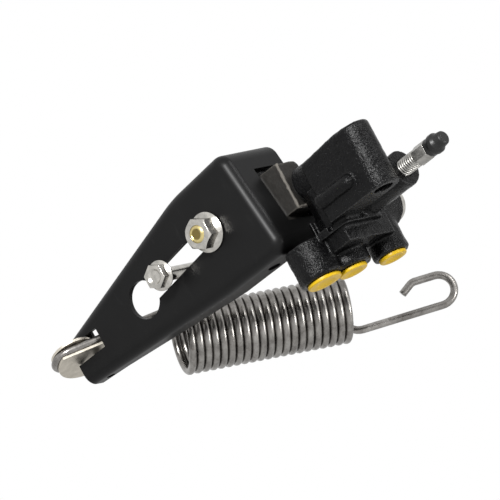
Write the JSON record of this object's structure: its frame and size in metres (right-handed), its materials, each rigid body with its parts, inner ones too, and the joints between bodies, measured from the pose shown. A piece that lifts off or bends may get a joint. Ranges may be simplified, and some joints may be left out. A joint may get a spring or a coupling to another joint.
{
  "type": "brake load sensing valve",
  "caption": "Brake load sensing valve: cast valve body with capped ports and bleeder, pivoted channel lever, long-hook tension spring.",
  "frame": {"origin": "centre of the mounting hole at the lug's lower face", "axes": "+X from the lever's tip to the bleeder, +Y back from the lever's slotted web, +Z along the mounting hole, away from the ports' side"},
  "size_m": [0.2207, 0.1428, 0.0827],
  "materials": {
    "black_cast_iron": "gloss black paint over a rough casting",
    "black_paint": "satin black paint",
    "zinc_plate": "bright zinc plating",
    "steel": "machined steel",
    "spring_steel": "bright drawn spring wire",
    "yellow_zinc": "yellow zinc plating",
    "copper": "soft copper",
    "black_rubber": "smooth black rubber",
    "block_rubber": "dull moulded rubber",
    "yellow_plastic": "moulded yellow plastic"
  },
  "bodies": {
    "root": {"valve_body": "black_cast_iron", "end_plug": "zinc_plate", "end_plug_gasket": "copper", "bypass_spring": "spring_steel", "gland_bush": "steel", "retaining_ring": "spring_steel", "dust_boot": "black_rubber", "piston_spring": "spring_steel", "pivot_pin": "black_paint", "pivot_washers": "steel"},
    "lever": {"lever_channel": "black_paint", "stop_block": "block_rubber", "adjuster_stud": "yellow_zinc", "stud_spacer": "steel", "flange_nut": "zinc_plate", "adjuster_strap": "black_paint", "lock_nut": "zinc_plate", "tip_pin": "black_paint"},
    "adjuster": {"adjusting_bolt": "zinc_plate"},
    "spring": {"hook_thimble": "zinc_plate", "load_spring": "spring_steel"},
    "piston": {"load_piston": "steel", "piston_cup": "black_rubber"},
    "bypass": {"bypass_piston": "steel"},
    "bleeder": {"bleeder_screw": "zinc_plate"},
    "cap": {"bleeder_cap": "black_rubber"},
    "front_plug": {"port_plug_front": "yellow_plastic"},
    "middle_plug": {"port_plug_middle": "yellow_plastic"},
    "rear_plug": {"port_plug_rear": "yellow_plastic"}
  },
  "joints": [
    {"name": "lever_pivot", "type": "hinge", "parent": "root", "child": "lever", "pos_m": [-0.0717, -0.001, 0.0285], "axis": [0, 0, -1], "range_deg": [0, 6]},
    {"name": "piston_slide", "type": "slide", "parent": "root", "child": "piston", "axis": [1, 0, 0], "range_m": [0, 0.0016]},
    {"name": "bypass_slide", "type": "slide", "parent": "root", "child": "bypass", "axis": [0, 1, 0], "range_m": [0, 0.001], "stiffness_N_per_m": 500},
    {"name": "spring_swing", "type": "hinge", "parent": "lever", "child": "spring", "pos_m": [-0.1742, -0.006, 0.0205], "axis": [0, 0, 1], "range_deg": [-4, 4]},
    {"name": "adjuster_travel", "type": "slide", "parent": "lever", "child": "adjuster", "axis": [0, 1, 0], "range_m": [0, 0.005]},
    {"name": "bleeder_turn", "type": "hinge", "parent": "root", "child": "bleeder", "pos_m": [0.0025, 0.0174, 0.0068], "axis": [1, 0, 0], "range_deg": [0, 180]},
    {"name": "cap_pull", "type": "slide", "parent": "bleeder", "child": "cap", "axis": [1, 0, 0], "range_m": [0, 0.012]},
    {"name": "front_plug_pull", "type": "slide", "parent": "root", "child": "front_plug", "axis": [0, 0, -1], "range_m": [0, 0.012]},
    {"name": "middle_plug_pull", "type": "slide", "parent": "root", "child": "middle_plug", "axis": [0, 0, -1], "range_m": [0, 0.012]},
    {"name": "rear_plug_pull", "type": "slide", "parent": "root", "child": "rear_plug", "axis": [0, 0, -1], "range_m": [0, 0.012]}
  ],
  "couplings": [
    {"joint": "piston_slide", "follows": "lever_pivot", "m_per_rad": 0.015183}
  ]
}
